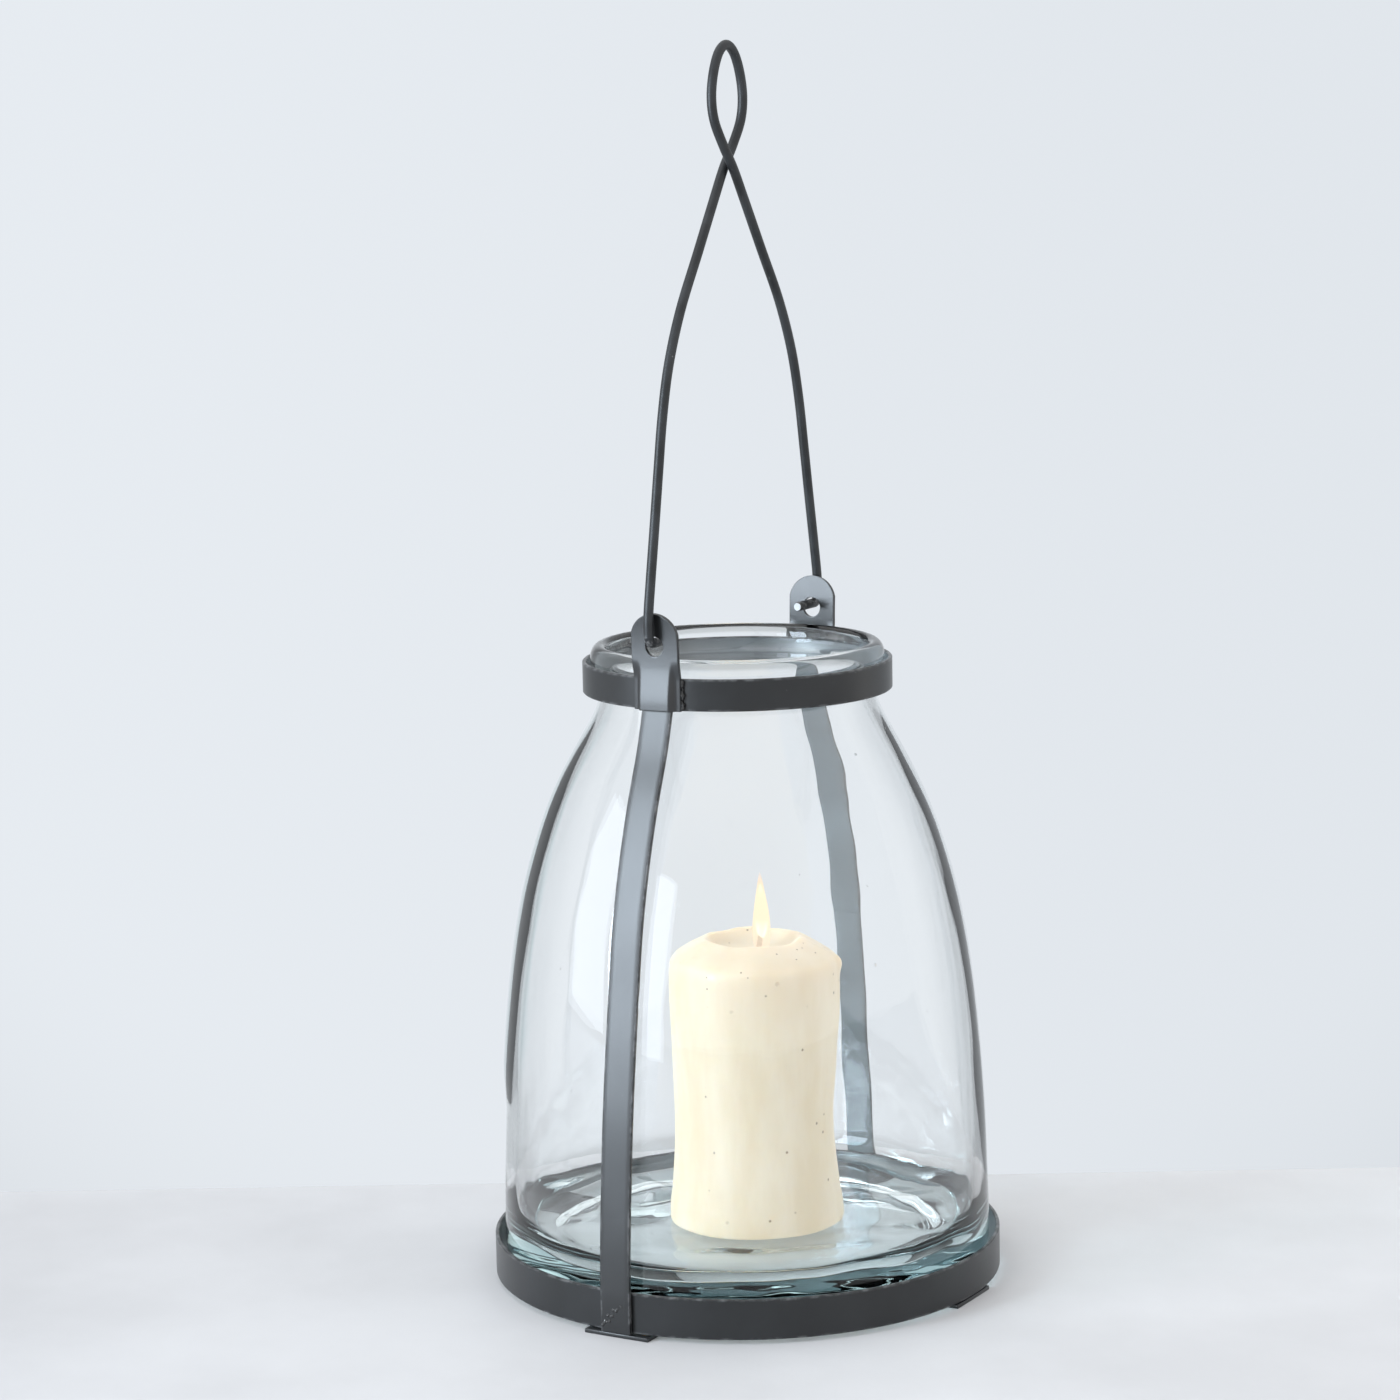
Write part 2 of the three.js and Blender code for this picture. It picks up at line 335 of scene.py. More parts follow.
def candle_wax(low, high):
    """Ivory wax, glowing faintly with the flame's light: warmer and clearer towards the top,
    frosted lower down, with pits, grime and a little soot."""
    fixed = {
        "Subsurface Weight": 0.85,
        "Subsurface Radius": (1.0, 0.62, 0.3),
        "Subsurface Scale": 0.02,
        "IOR": 1.44,
        "Coat Weight": 0.05,
        "Specular IOR Level": 0.35,
        "Coat Roughness": 0.25,
        "Emission Strength": 1.36,
    }
    material, shader, place = new_material("candle_wax", fixed)
    height = (place.axis("Z") - low) / (high - low)
    glow = height.smooth(0.68, 1.0)
    frost = place.mapped(scale=(1, 1, 0.3)).clouds(55, 4)
    pits = place.spots(95, 0.1, 0.3)
    dirt = place.mapped(move=(0.3, 0.1, 0.7)).spots(160, 0.12, 0.5)
    soot = place.mapped(move=(0.9, 0.4, 0.2)).spots(330, 0.16, 0.3) * height.smooth(0.865, 0.875)
    lines = place.mapped(scale=(1, 1, 0.03)).clouds(190, 2).smooth(0.4, 0.72)
    ivory = frost.smooth(0.32, 0.7).mix(WAX_IVORY, WAX_FROSTED)
    warmed = (glow * 0.45).mix(ivory, WAX_WARM)
    marks = dirt * 0.8 + pits * 0.2 + soot * 0.9
    marked = marks.math("MINIMUM", marks, 1.0).mix(warmed, WAX_GRIME)
    multiply = {"operation": "MULTIPLY"}
    lit = marked.node("ShaderNodeVectorMath", multiply, {0: marked, 1: WAX_GLOW})
    relief = frost * 0.5 - pits * 1.2 - dirt * 0.8 + lines * 0.16 + place.clouds(420, 3) * 0.12
    drive(
        material,
        shader,
        Base_Color=marked,
        Emission_Color=lit,
        Roughness=0.34 + frost * 0.2 + lines * 0.05 - glow * 0.12,
        Normal=relief.bump(WAX_RELIEF, 0.5),
    )
    return material


def wick_cotton(low, high):
    """Braided cotton, charred black, with a glowing tip."""
    material, shader, place = new_material("wick_cotton", {"Emission Strength": 2.0})
    height = (place.axis("Z") - low) / (high - low)
    braid = place.mapped(turn=(0.6, 0.5, 0)).clouds(1600, 2)
    burnt = height.smooth(0.0, 0.35)
    ember = height.smooth(0.86, 1.0)
    drive(
        material,
        shader,
        Base_Color=burnt.mix(CLEAN_COTTON, CHARRED_COTTON),
        Roughness=0.8 + braid * 0.2,
        Emission_Color=ember.mix(NO_LIGHT, EMBER),
        Normal=braid.bump(BRAID_RELIEF, 0.8),
    )
    return material


def flame_light(name, low, high, strength, colours):
    """Burning gas: dimmer and pinkish at the wick, bright in the middle, clear at the tip."""
    fixed = {"Emission Strength": strength, "Roughness": 1.0, "Specular IOR Level": 0.0}
    material, shader, place = new_material(name, fixed)
    shader.inputs["Base Color"].default_value = NO_LIGHT
    height = (place.axis("Z") - low) / (high - low)
    flicker = (place.mapped(scale=(1, 1, 0.3)).clouds(240, 2) - 0.5) * 0.12
    body = (height + flicker).smooth(0.0, 0.42) * (height + flicker).smooth(1.04, 0.7)
    stops = {"stops": colours}
    colour = height.node("ShaderNodeValToRGB", stops, {"Fac": height})
    alpha = body + height.smooth(0.35, 0.0) * FLAME_BASE_ALPHA
    drive(material, shader, Emission_Color=colour, Alpha=alpha.math("MINIMUM", alpha, 1.0))
    return material


# ---------------------------------------------------------------- modelling kit

def begin(add_primitive, name, **settings):
    """Adds a primitive with nothing else selected, in object mode, and names it."""
    bpy.ops.object.select_all(action="DESELECT")
    add_primitive(**settings)
    piece = bpy.context.object
    piece.name = name
    piece.data.name = name
    return piece


def apply_modifier(piece, kind, **settings):
    modifier = piece.modifiers.new(kind.title(), kind)
    for name, value in settings.items():
        setattr(modifier, name, value)
    bpy.context.view_layer.objects.active = piece
    bpy.ops.object.modifier_apply(modifier=modifier.name)


def select_only(piece):
    bpy.ops.object.select_all(action="DESELECT")
    piece.select_set(True)
    bpy.context.view_layer.objects.active = piece


def settle(piece):
    """Puts the piece's place into its mesh, so that its object stays at the origin."""
    select_only(piece)
    bpy.ops.object.transform_apply(location=True, rotation=True, scale=True)


def smooth_shading(piece, angle_deg):
    select_only(piece)
    bpy.ops.object.shade_smooth_by_angle(angle=math.radians(angle_deg))


def finish_piece(piece, material, body, nodes=()):
    piece.data.materials.clear()
    piece.data.materials.append(material)
    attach(piece, body)
    if nodes:
        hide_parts(*nodes)


def soft_step(value, low, high):
    """0 at low, 1 at high, with a soft step between; low may be the larger."""
    t = min(max((value - low) / (high - low), 0.0), 1.0)
    return t * t * (3 - 2 * t)


def within(value, limits):
    """1 between two soft limits, and 0 beyond them."""
    rising, falling = limits
    return soft_step(value, *rising) * soft_step(value, *falling)


def smooth_line(points, steps):
    """Points of a smooth line through all of these, with this many steps from each to the next."""
    points = [Vector(point) for point in points]
    line = []
    for i in range(len(points) - 1):
        before = points[max(i - 1, 0)]
        start, end = points[i], points[i + 1]
        after = points[min(i + 2, len(points) - 1)]
        for step in range(steps):
            t = step / steps
            leave = (end - before) / 2
            arrive = (after - start) / 2
            line.append(
                start * (2 * t**3 - 3 * t**2 + 1)
                + leave * (t**3 - 2 * t**2 + t)
                + end * (3 * t**2 - 2 * t**3)
                + arrive * (t**3 - t**2)
            )
    return [*line, points[-1]]


def arc(centre, radii, from_deg, to_deg, steps):
    points = []
    for i in range(steps + 1):
        angle = math.radians(from_deg + (to_deg - from_deg) * i / steps)
        points.append(
            Vector((centre[0] + radii[0] * math.cos(angle), centre[1] + radii[1] * math.sin(angle)))
        )
    return points


def offset_line(line, distance):
    """The line moved to its left by the distance."""
    moved = []
    for i, point in enumerate(line):
        along = (line[min(i + 1, len(line) - 1)] - line[max(i - 1, 0)]).normalized()
        moved.append(Vector((point.x - along.y * distance, point.y + along.x * distance)))
    return moved


def spun(name, outline, steps, centre=(0.0, 0.0)):
    """A turned piece. One point is extruded along the outline of (radius, height), in millimetres,
    and the line is spun about an upright axis at the centre."""
    piece = begin(bpy.ops.mesh.primitive_plane_add, name, size=MM)
    bpy.ops.object.mode_set(mode="EDIT")
    bpy.ops.mesh.merge(type="CENTER")
    corner = Vector((centre[0], centre[1], 0))
    stations = [Vector((radius, 0, height)) * MM + corner for radius, height in outline]
    bpy.ops.transform.translate(value=stations[0])
    for before, after in zip(stations, stations[1:]):
        bpy.ops.mesh.extrude_region_move(TRANSFORM_OT_translate={"value": after - before})
    bpy.ops.mesh.select_all(action="SELECT")
    bpy.ops.mesh.spin(steps=steps, angle=2 * math.pi, center=corner, axis=(0, 0, 1))
    bpy.ops.mesh.select_all(action="SELECT")
    bpy.ops.mesh.remove_doubles(threshold=0.02 * MM)
    bpy.ops.mesh.normals_make_consistent(inside=False)
    bpy.ops.object.mode_set(mode="OBJECT")
    return piece


def pressed_sheet(name, across, along, shape, thickness):
    """A piece of sheet metal: a grid whose points are set by shape(u, v), u across from -1 to 1 and
    v along from 0 to 1, thickened towards the side that shape's face looks away from."""
    piece = begin(
        bpy.ops.mesh.primitive_grid_add, name, x_subdivisions=across, y_subdivisions=along, size=2
    )
    for vertex in piece.data.vertices:
        vertex.co = shape(vertex.co.x, (vertex.co.y + 1) / 2)
    apply_modifier(piece, "SOLIDIFY", thickness=thickness, offset=-1)
    return piece


def mirrored(piece, name):
    """A copy turned half round the upright axis, with a mesh of its own."""
    copy = piece.copy()
    copy.data = piece.data.copy()
    copy.name = name
    copy.data.name = name
    bpy.context.scene.collection.objects.link(copy)
    copy.data.transform(Matrix.Rotation(math.pi, 4, "Z"))
    return copy


# ---------------------------------------------------------------- steel frame

HOOP_STEPS = 144
HOOP_EASE = 0.35
EDGE_EASE = 0.3 * MM
THIN_EDGE_EASE = 0.25 * MM


def hoop_outline(node):
    """A strip on edge with its corners eased, from the size of the CAD hoop."""
    low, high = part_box(node)
    outer, bottom, top = high.x / MM, low.z / MM, high.z / MM
    inner = outer - STRIP / MM
    ease = HOOP_EASE
    corners = [
        (inner + ease, bottom),
        (outer - ease, bottom),
        (outer, bottom + ease),
        (outer, top - ease),
        (outer - ease, top),
        (inner + ease, top),
        (inner, top - ease),
        (inner, bottom + ease),
    ]
    return [*corners, corners[0]]


def paint_inside_sheen(piece, coat, is_inside):
    """Gives the faces that look in at the jar the lighter coat, which is painted sheen: it stands
    for the light that these faces catch behind the glass.
    """
    piece.data.materials.append(coat)
    for polygon in piece.data.polygons:
        if is_inside(polygon):
            polygon.material_index = 1


def faces_in(polygon):
    """True for a face that looks at the jar's axis."""
    outward = Vector((polygon.center.x, polygon.center.y, 0)).normalized()
    return polygon.normal.dot(outward) < -0.8


def make_hoop(name, node, inner_sheen_coat):
    low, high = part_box(node)
    hoop = spun(name, hoop_outline(node), HOOP_STEPS)
    smooth_shading(hoop, 30)
    coat = powder_coat(name + "_coat", STEEL_GREY, hoop_edges(low.z, high.z), HOOP_IOR)
    finish_piece(hoop, coat, "frame", [node])
    paint_inside_sheen(hoop, inner_sheen_coat, faces_in)


STRAP_WIDTH = 12 * MM
STRAP_BEND = [
    (97.3, 34),
    (95.6, 57),
    (93.5, 80),
    (90.9, 101),
    (87.8, 122.5),
    (83.9, 147),
    (78.5, 169),
    (71.6, 190),
    (64, 209),
]


def strap_route():
    """The strap's outer face from foot to head, as (distance from the jar's axis, height)."""
    low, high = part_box("right_strap")
    hoop_low, hoop_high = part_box("upper_hoop")
    foot = high.x
    head = hoop_high.x + GAP + STRIP
    lower_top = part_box("lower_hoop")[1].z
    bend = [(foot, lower_top), *[(r * MM, z * MM) for r, z in STRAP_BEND], (head, hoop_low.z)]
    return [Vector((foot, low.z)), *smooth_line(bend, 6), Vector((head, high.z))]


def make_straps(coat, inner_sheen_coat):
    route = strap_route()
    low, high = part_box("right_strap")
    half = (high.y - low.y) / 2

    def shape(u, v):
        point = route[round(v * (len(route) - 1))]
        return Vector((point.x, u * half, point.y))

    strap = pressed_sheet("strap_right", 5, len(route), shape, STRIP)
    apply_modifier(strap, "BEVEL", width=EDGE_EASE, segments=2, limit_method="ANGLE")
    smooth_shading(strap, 35)
    other = mirrored(strap, "strap_left")
    for piece, node in ((strap, "right_strap"), (other, "left_strap")):
        finish_piece(piece, coat, "frame", [node])
        paint_inside_sheen(piece, inner_sheen_coat, faces_in)


LUG_ARCH = 7.6 * MM
LUG_RISE = 5.5 * MM
LUG_LEAN = 1.2 * MM
LUG_FLARE = 1.3 * MM
LEAN_FOOT = 2 * MM
WING_FROM = 5.9 * MM
WING_TO = 7.9 * MM
# The wings are flat with the tab this far above the rise, and lie on the hoop this far below it.
FOLD_ABOVE = 1 * MM
FOLD_BELOW = 6 * MM
LUG_HOLE_RADIUS = 3.75 * MM
LUG_HOLE_DROP = 12 * MM
HOLE_SIDES = 48
LUG_GRID = (41, 61)
DRILL_LENGTH = 20 * MM


def make_lugs(coat):
    """A tab with a round top and a hole, leaning out a little. Below, it is pressed out over the
    strap's head, and its two wings lie back against the hoop."""
    low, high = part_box("right_lug")
    half = (high.y - low.y) / 2
    arch_radius = (half**2 + LUG_ARCH**2) / (2 * LUG_ARCH)
    hoop_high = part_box("upper_hoop")[1]
    face = hoop_high.x + GAP + STRIP
    step = high.x - face
    rise = hoop_high.z + LUG_RISE

    def shape(u, v):
        y = u * half
        top = high.z - arch_radius + math.sqrt(arch_radius**2 - y**2)
        z = low.z + (top - low.z) * v
        wing = soft_step(abs(y), WING_FROM, WING_TO)
        folded = wing * soft_step(z, rise + FOLD_ABOVE, rise - FOLD_BELOW)
        curve = face - math.sqrt(face**2 - y**2)
        lean = LUG_LEAN * soft_step(z, low.z + LEAN_FOOT, rise - 1 * MM) * (1 - folded)
        flare = LUG_FLARE * (max(z - rise, 0) / (high.z - rise)) ** 2
        return Vector((high.x - lean - folded * (step + curve) + flare, y, z))

    lug = pressed_sheet("lug_right", *LUG_GRID, shape, STRIP)
    drill = begin(
        bpy.ops.mesh.primitive_cylinder_add,
        "drill",
        vertices=HOLE_SIDES,
        radius=LUG_HOLE_RADIUS,
        depth=DRILL_LENGTH,
        location=(high.x, 0, high.z - LUG_HOLE_DROP),
        rotation=(0, math.pi / 2, 0),
    )
    apply_modifier(lug, "BOOLEAN", operation="DIFFERENCE", object=drill, solver="EXACT")
    bpy.data.objects.remove(drill)
    easing = {"width": THIN_EDGE_EASE, "segments": 2, "limit_method": "ANGLE", "angle_limit": 1.0}
    apply_modifier(lug, "BEVEL", **easing)
    smooth_shading(lug, 40)
    other = mirrored(lug, "lug_left")
    finish_piece(lug, coat, "frame", ["right_lug"])
    finish_piece(other, coat, "frame", ["left_lug"])


FOOT_CORNER = 1.6 * MM


def make_feet(coat):
    """Four short plates under the hoop, their cut corners rounded off."""
    for node in ("right_foot", "left_foot", "back_foot", "front_foot"):
        low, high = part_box(node)
        middle = (low + high) / 2
        name = node.replace("_foot", "_foot_plate")
        foot = begin(bpy.ops.mesh.primitive_cube_add, name, size=1)
        for vertex in foot.data.vertices:
            vertex.co = Vector(a * (h - l) for a, l, h in zip(vertex.co, low, high)) + middle
        round_corners(foot, FOOT_CORNER)
        apply_modifier(foot, "BEVEL", width=THIN_EDGE_EASE, segments=2, limit_method="ANGLE")
        smooth_shading(foot, 35)
        finish_piece(foot, coat, "frame", [node])


def round_corners(plate, radius):
    """Rounds the upright edges of a plate."""
    bpy.ops.object.mode_set(mode="EDIT")
    bpy.ops.mesh.select_all(action="DESELECT")
    mesh = bmesh.from_edit_mesh(plate.data)
    for edge in mesh.edges:
        start, end = edge.verts
        edge.select_set(abs((start.co - end.co).normalized().z) > 0.9)
    bmesh.update_edit_mesh(plate.data)
    bpy.ops.mesh.bevel(offset=radius, segments=4, affect="EDGES")
    bpy.ops.object.mode_set(mode="OBJECT")


# ---------------------------------------------------------------- welds

WELD_GRAIN = 0.22 * MM
LUMPS_PER_METRE = 1100
WING_BLOBS, WING_PITCH, WING_BLOB = 9, 1.15, 0.95 * MM
WELD_SUNK = 0.4 * MM
FOOT_BLOBS, FOOT_BLOB = 11, 1.0 * MM
FOOT_STEP_ACROSS, FOOT_STEP_UP = 0.72, 0.78


def weld_run(name, stations, radius):
    """A run of weld: overlapping blobs along a line, melted together and lumped."""
    blobs = []
    for i, (place, size) in enumerate(stations):
        blob = begin(
            bpy.ops.mesh.primitive_ico_sphere_add,
            f"{name}_{i}",
            subdivisions=2,
            radius=radius * size,
            location=place,
        )
        blobs.append(blob)
    for blob in blobs:
        blob.select_set(True)
    bpy.ops.object.join()
    run = bpy.context.object
    run.name = name
    run.data.name = name
    settle(run)
    apply_modifier(run, "REMESH", mode="VOXEL", voxel_size=WELD_GRAIN)
    for vertex in run.data.vertices:
        lump = noise.noise(vertex.co * LUMPS_PER_METRE) * WELD_GRAIN
        vertex.co += vertex.normal * lump
    apply_modifier(run, "SMOOTH", factor=0.5, iterations=2)
    for polygon in run.data.polygons:
        polygon.use_smooth = True
    return run


def make_welds(metal):
    """A bead up the edge of a wing of each lug, and a slanting one at each strap's foot."""
    hoop_low, hoop_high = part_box("upper_hoop")
    lower_hoop_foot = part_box("lower_hoop")[0].z
    strap_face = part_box("right_strap")[1].x
    face = hoop_high.x + GAP + WELD_SUNK
    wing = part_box("right_lug")[1].y + 0.1 * MM
    for side, label in ((1, "right"), (-1, "left")):
        bead = []
        for i in range(WING_BLOBS):
            z = hoop_low.z + (1.2 + i * WING_PITCH) * MM
            y = wing + math.sin(i * 2.3) * 0.2 * MM
            x = math.sqrt(max(face**2 - y**2, 0))
            bead.append((Vector((side * x, side * y, z)), 0.75 + 0.3 * math.sin(i * 1.7 + 1)))
        run = weld_run(f"weld_wing_{label}", bead, WING_BLOB)
        finish_piece(run, metal, "frame")
        foot = []
        for i in range(FOOT_BLOBS):
            y = (-5.4 + i * FOOT_STEP_ACROSS + 0.7 * math.sin(i * 2.6)) * MM
            z = lower_hoop_foot + (2.2 + i * FOOT_STEP_UP + 0.9 * math.sin(i * 1.9)) * MM
            size = 0.85 + 0.12 * math.sin(i * 3.1)
            foot.append((Vector((side * (strap_face - WELD_SUNK), side * y, z)), size))
        run = weld_run(f"weld_foot_{label}", foot, FOOT_BLOB)
        finish_piece(run, metal, "frame")


# ---------------------------------------------------------------- bail handle

WIRE_RADIUS = 1.8 * MM
TIP_TAPER = 0.8
# From here to LOOP, in millimetres: the radius of the bend at each lug, where the two strands
# cross, the top of the loop, and how far each strand stands off the middle plane at the crossing.
WIRE_BEND = 3.0
CROSSING_HEIGHT = 415.2
LOOP_TOP = 459.9
STRAND_OFFSET = 2.05
# Stations up one leg and round one side of the loop: across, height, and how much of the strand
# offset the wire stands in front of or behind the middle plane.
LEG = [
    (63.9, 258, 0),
    (61.9, 270, 0),
    (58.2, 290, 0),
    (54.8, 309, 0),
    (51.2, 328, 0),
    (45.9, 346.5, 0),
    (36.8, 365.5, 0),
    (22.4, 385.5, 0.3),
    (8, 404.5, 0.8),
]
LOOP = [
    (5.9, 423.5, 0.7),
    (10.6, 432.5, 0.25),
    (11.5, 441, 0),
    (9.7, 449.8, 0),
    (5.6, 457, 0),
]


def make_bail():
    """One wire: in through a lug, up a leg, across itself, round the loop and back down."""
    pivot_z = bail_pivot_height() / MM
    bend_x = LEG[0][0] - WIRE_BEND
    bend = arc((bend_x, pivot_z + WIRE_BEND), (WIRE_BEND, WIRE_BEND), 270, 360, 6)
    tip = (WIRE_TIP_X / MM, pivot_z, 0)
    leg = [tip, (bend_x - 5, pivot_z, 0), *[(p.x, p.y, 0) for p in bend], *LEG]

    def strand(points, side, face):
        return [Vector((side * x, face * share * STRAND_OFFSET, z)) * MM for x, z, share in points]

    front, back = -1, 1
    route = smooth_line(
        [
            *strand(leg, 1, front),
            *strand([(0, CROSSING_HEIGHT, 1)], 1, front),
            *strand(LOOP, -1, front),
            *strand([(0, LOOP_TOP, 0)], 1, front),
            *strand(LOOP, 1, back)[::-1],
            *strand([(0, CROSSING_HEIGHT, 1)], 1, back),
            *strand(leg, -1, back)[::-1],
        ],
        6,
    )
    wire = begin(bpy.ops.curve.primitive_bezier_curve_add, "bail_wire")
    curve = wire.data
    curve.splines.clear()
    spline = curve.splines.new("POLY")
    spline.points.add(len(route) - 1)
    last = len(route) - 1
    for i, point in enumerate(route):
        spline.points[i].co = (*point, 1)
        spline.points[i].radius = TIP_TAPER if i in (0, last) else 1.0
    spline.use_smooth = True
    curve.dimensions = "3D"
    curve.bevel_depth = WIRE_RADIUS
    curve.bevel_resolution = 6
    curve.use_fill_caps = True
    bpy.ops.object.convert(target="MESH")
    wire = bpy.context.object
    wire.name = "bail_wire"
    close_seams(wire)
    smooth_shading(wire, 50)
    finish_piece(wire, wire_coat(), "bail", ["bail_handle"])


def close_seams(piece):
    """Joins the caps of a converted curve to its tube."""
    select_only(piece)
    bpy.ops.object.mode_set(mode="EDIT")
    bpy.ops.mesh.select_all(action="SELECT")
    bpy.ops.mesh.remove_doubles(threshold=0.01 * MM)
    bpy.ops.mesh.normals_make_consistent(inside=False)
    bpy.ops.object.mode_set(mode="OBJECT")


# ---------------------------------------------------------------- glass jar

JAR_STEPS = 72
JAR_BODY = [
    (92.3, 14),
    (91.7, 45),
    (89.9, 79),
    (87, 111),
    (83, 138.5),
    (77.5, 161),
    (69.3, 184),
    (59.7, 203.5),
    (52.8, 217),
    (50.5, 227),
]
WALL = 3.3
FLOOR_TOP = 17.7
INNER_CORNER = 14
RIM_CENTRE, RIM_RADII = (51.45, 235.4), (3.65, 5.6)
FOOT_CENTRE, FOOT_RADII = (80, 14), (12.3, 12.2)
UNDERSIDE = [(0, 5.6), (30, 5.5), (58, 5.2), (70, 4.2), (75, 1.9), (78, 1.8)]
FLOOR_RINGS = (60, 46, 34, 16, 0)


def jar_outline():
    """Half of the jar's section: underside, foot, body, rolled rim, inner wall and floor."""
    body = smooth_line(JAR_BODY, 2)
    foot_corner = arc(FOOT_CENTRE, FOOT_RADII, 270, 350, 5)
    rim = arc(RIM_CENTRE, RIM_RADII, -70, 190, 12)
    inner = offset_line(body[2:], WALL)[::-1]
    middle = (inner[-1].x - INNER_CORNER, FLOOR_TOP + INNER_CORNER)
    corner = arc(middle, (INNER_CORNER, INNER_CORNER), -5, -90, 5)
    floor = [(radius, FLOOR_TOP) for radius in FLOOR_RINGS]
    return [*UNDERSIDE, *foot_corner[1:], *body, *rim, *inner, *corner[:-1], *floor]


def make_jar():
    jar = spun("jar", jar_outline(), JAR_STEPS)
    apply_modifier(jar, "SUBSURF", levels=2, render_levels=2)
    moves = [glass_wave(vertex.co, vertex.normal) for vertex in jar.data.vertices]
    for vertex, move in zip(jar.data.vertices, moves):
        vertex.co += move
    for polygon in jar.data.polygons:
        polygon.use_smooth = True
    finish_piece(jar, jar_glass(), "frame", ["glass_jar"])


# Where the blown wall came out thick: bearing and half width in degrees, bottom and top heights,
# how far the whole wall swells outwards, and how far its inner face stands in.
THICK_PLACES = [
    (123, 9, 62, 222, 1.7, 1.3),
    (-64, 7, 40, 222, 0.3, 0.8),
]
# Heights over which the wall's waves start and stop, and radii over which those of the floor and
# the underside do.
WALL_WAVES = ((22, 45), (226, 200))
FLOOR_WAVES = ((38, 52), (90, 80))
UNDERSIDE_WAVES = ((30, 45), (74, 66))
WALL_WAVE = 0.3 * MM
FLOOR_SWELL, FLOOR_RIPPLE = 2.6, 0.3
UNDERSIDE_SWELL = 1.6


def glass_wave(place, normal):
    """How far hand-blown glass strays from a turned shape: slow waves in the wall, the thick
    places, and a wavy ring in the floor and in the underside."""
    radius = math.hypot(place.x, place.y)
    if radius < 1e-6:
        return Vector((0, 0, 0))
    outward = Vector((place.x, place.y, 0)) / radius
    height = place.z / MM
    wall = within(height, WALL_WAVES)
    slow = noise.noise(Vector((place.x * 22, place.y * 22, place.z * 12 + 5)))
    move = outward * slow * WALL_WAVE * wall
    bearing = math.atan2(place.y, place.x)
    for thick, spread, low, high, swelling, ridge in THICK_PLACES:
        apart = math.radians(thick) - bearing
        apart = math.atan2(math.sin(apart), math.cos(apart))
        rise = soft_step(height, low, low + 22) * soft_step(height, high, high - 40)
        broad = math.exp(-((apart / math.radians(spread * 3)) ** 2))
        narrow = math.exp(-((apart / math.radians(spread)) ** 2))
        move += outward * broad * rise * swelling * MM
        if normal.dot(outward) < 0:
            move -= outward * narrow * rise * ridge * MM
    ring = within(radius / MM, FLOOR_WAVES)
    if FLOOR_TOP - 2 < height < 32:
        swell = noise.noise(Vector((place.x * 34 + 3, place.y * 34, 1)))
        fine = noise.noise(Vector((place.x * 75, place.y * 75 + 9, 2)))
        move.z += (swell * FLOOR_SWELL + fine * FLOOR_RIPPLE) * MM * ring
    elif 3 < height < 7:
        swell = noise.noise(Vector((place.x * 30, place.y * 30 + 20, 4)))
        ring = within(radius / MM, UNDERSIDE_WAVES)
        move.z += swell * UNDERSIDE_SWELL * MM * ring
    return move


# ---------------------------------------------------------------- candle

CANDLE_STEPS = 64
CANDLE_BASE = [(0, 18), (20, 18), (31.6, 18.1), (32.8, 18.8)]
CANDLE_SIDE = [
    (33.1, 20.4),
    (32.5, 27),
    (31.5, 34),
    (30, 57),
    (31.2, 80),
    (32.1, 104),
    (32.2, 118),
]
CANDLE_SHOULDER = [(31.7, 120.4), (30.2, 122.0), (26, 124.2), (21.8, 126.4), (19.4, 127.6)]
CANDLE_CRATER = [
    (18.2, 127.9),
    (17.0, 127.3),
    (15.4, 125.2),
    (13.4, 123.4),
    (10, 122.3),
    (6, 122.0),
    (0, 122.0),
]
SIDE_WAVE = 0.45 * MM
LIP_WAVE = 1.1 * MM
RUN_BEARING = math.radians(-66)
RUN_HALF_WIDTH = 0.09
RUN_HEAD = 118.5
RUN_HEAD_HALF = 3
RUN_TAIL = 0.4
RUN_THICKNESS = 1.0


def candle_centre():
    low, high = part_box("candle")
    return (low + high) / 2


def make_candle():
    """A pillar that has burned for a while: a soft waist, a sloping shoulder, a crater with an
    uneven lip, and a run of wax over the edge."""
    low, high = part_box("candle")
    centre = candle_centre()
    side = smooth_line(CANDLE_SIDE, 4)
    outline = [*CANDLE_BASE, *side, *CANDLE_SHOULDER, *CANDLE_CRATER]
    candle = spun("pillar_candle", outline, CANDLE_STEPS, centre=(centre.x, centre.y))
    apply_modifier(candle, "SUBSURF", levels=2, render_levels=2)
    for vertex in candle.data.vertices:
        vertex.co += wax_flow(vertex.co, centre)
    for polygon in candle.data.polygons:
        polygon.use_smooth = True
    wax = candle_wax(low.z, high.z)
    finish_piece(candle, wax, "candle", ["candle"])


def wax_flow(place, centre):
    """The uneven shape of used wax, as a move of one point."""
    flat = Vector((place.x - centre.x, place.y - centre.y, 0))
    radius = flat.length
    if radius < 1e-6:
        return Vector((0, 0, 0))
    outward = flat / radius
    bearing = math.atan2(flat.y, flat.x)
    height = place.z / MM
    upright = soft_step(height, 19, 26)
    broad = noise.noise(Vector((outward.x * 1.6, outward.y * 1.6, place.z * 28)))
    move = outward * broad * SIDE_WAVE * upright
    lip = soft_step(height, 117, 127.5) * soft_step(radius / MM, 11, 17)
    move.z += noise.noise(Vector((outward.x * 1.9, outward.y * 1.9, 7))) * LIP_WAVE * lip
    gap = math.atan2(math.sin(bearing - RUN_BEARING), math.cos(bearing - RUN_BEARING))
    run = math.exp(-((gap / RUN_HALF_WIDTH) ** 2)) * soft_step(radius / MM, 20, 30)
    head = math.exp(-(((height - RUN_HEAD) / RUN_HEAD_HALF) ** 2))
    bead = head + RUN_TAIL * soft_step(height, 70, 116)
    move += outward * run * bead * RUN_THICKNESS * MM * soft_step(height, 60, 80)
    return move


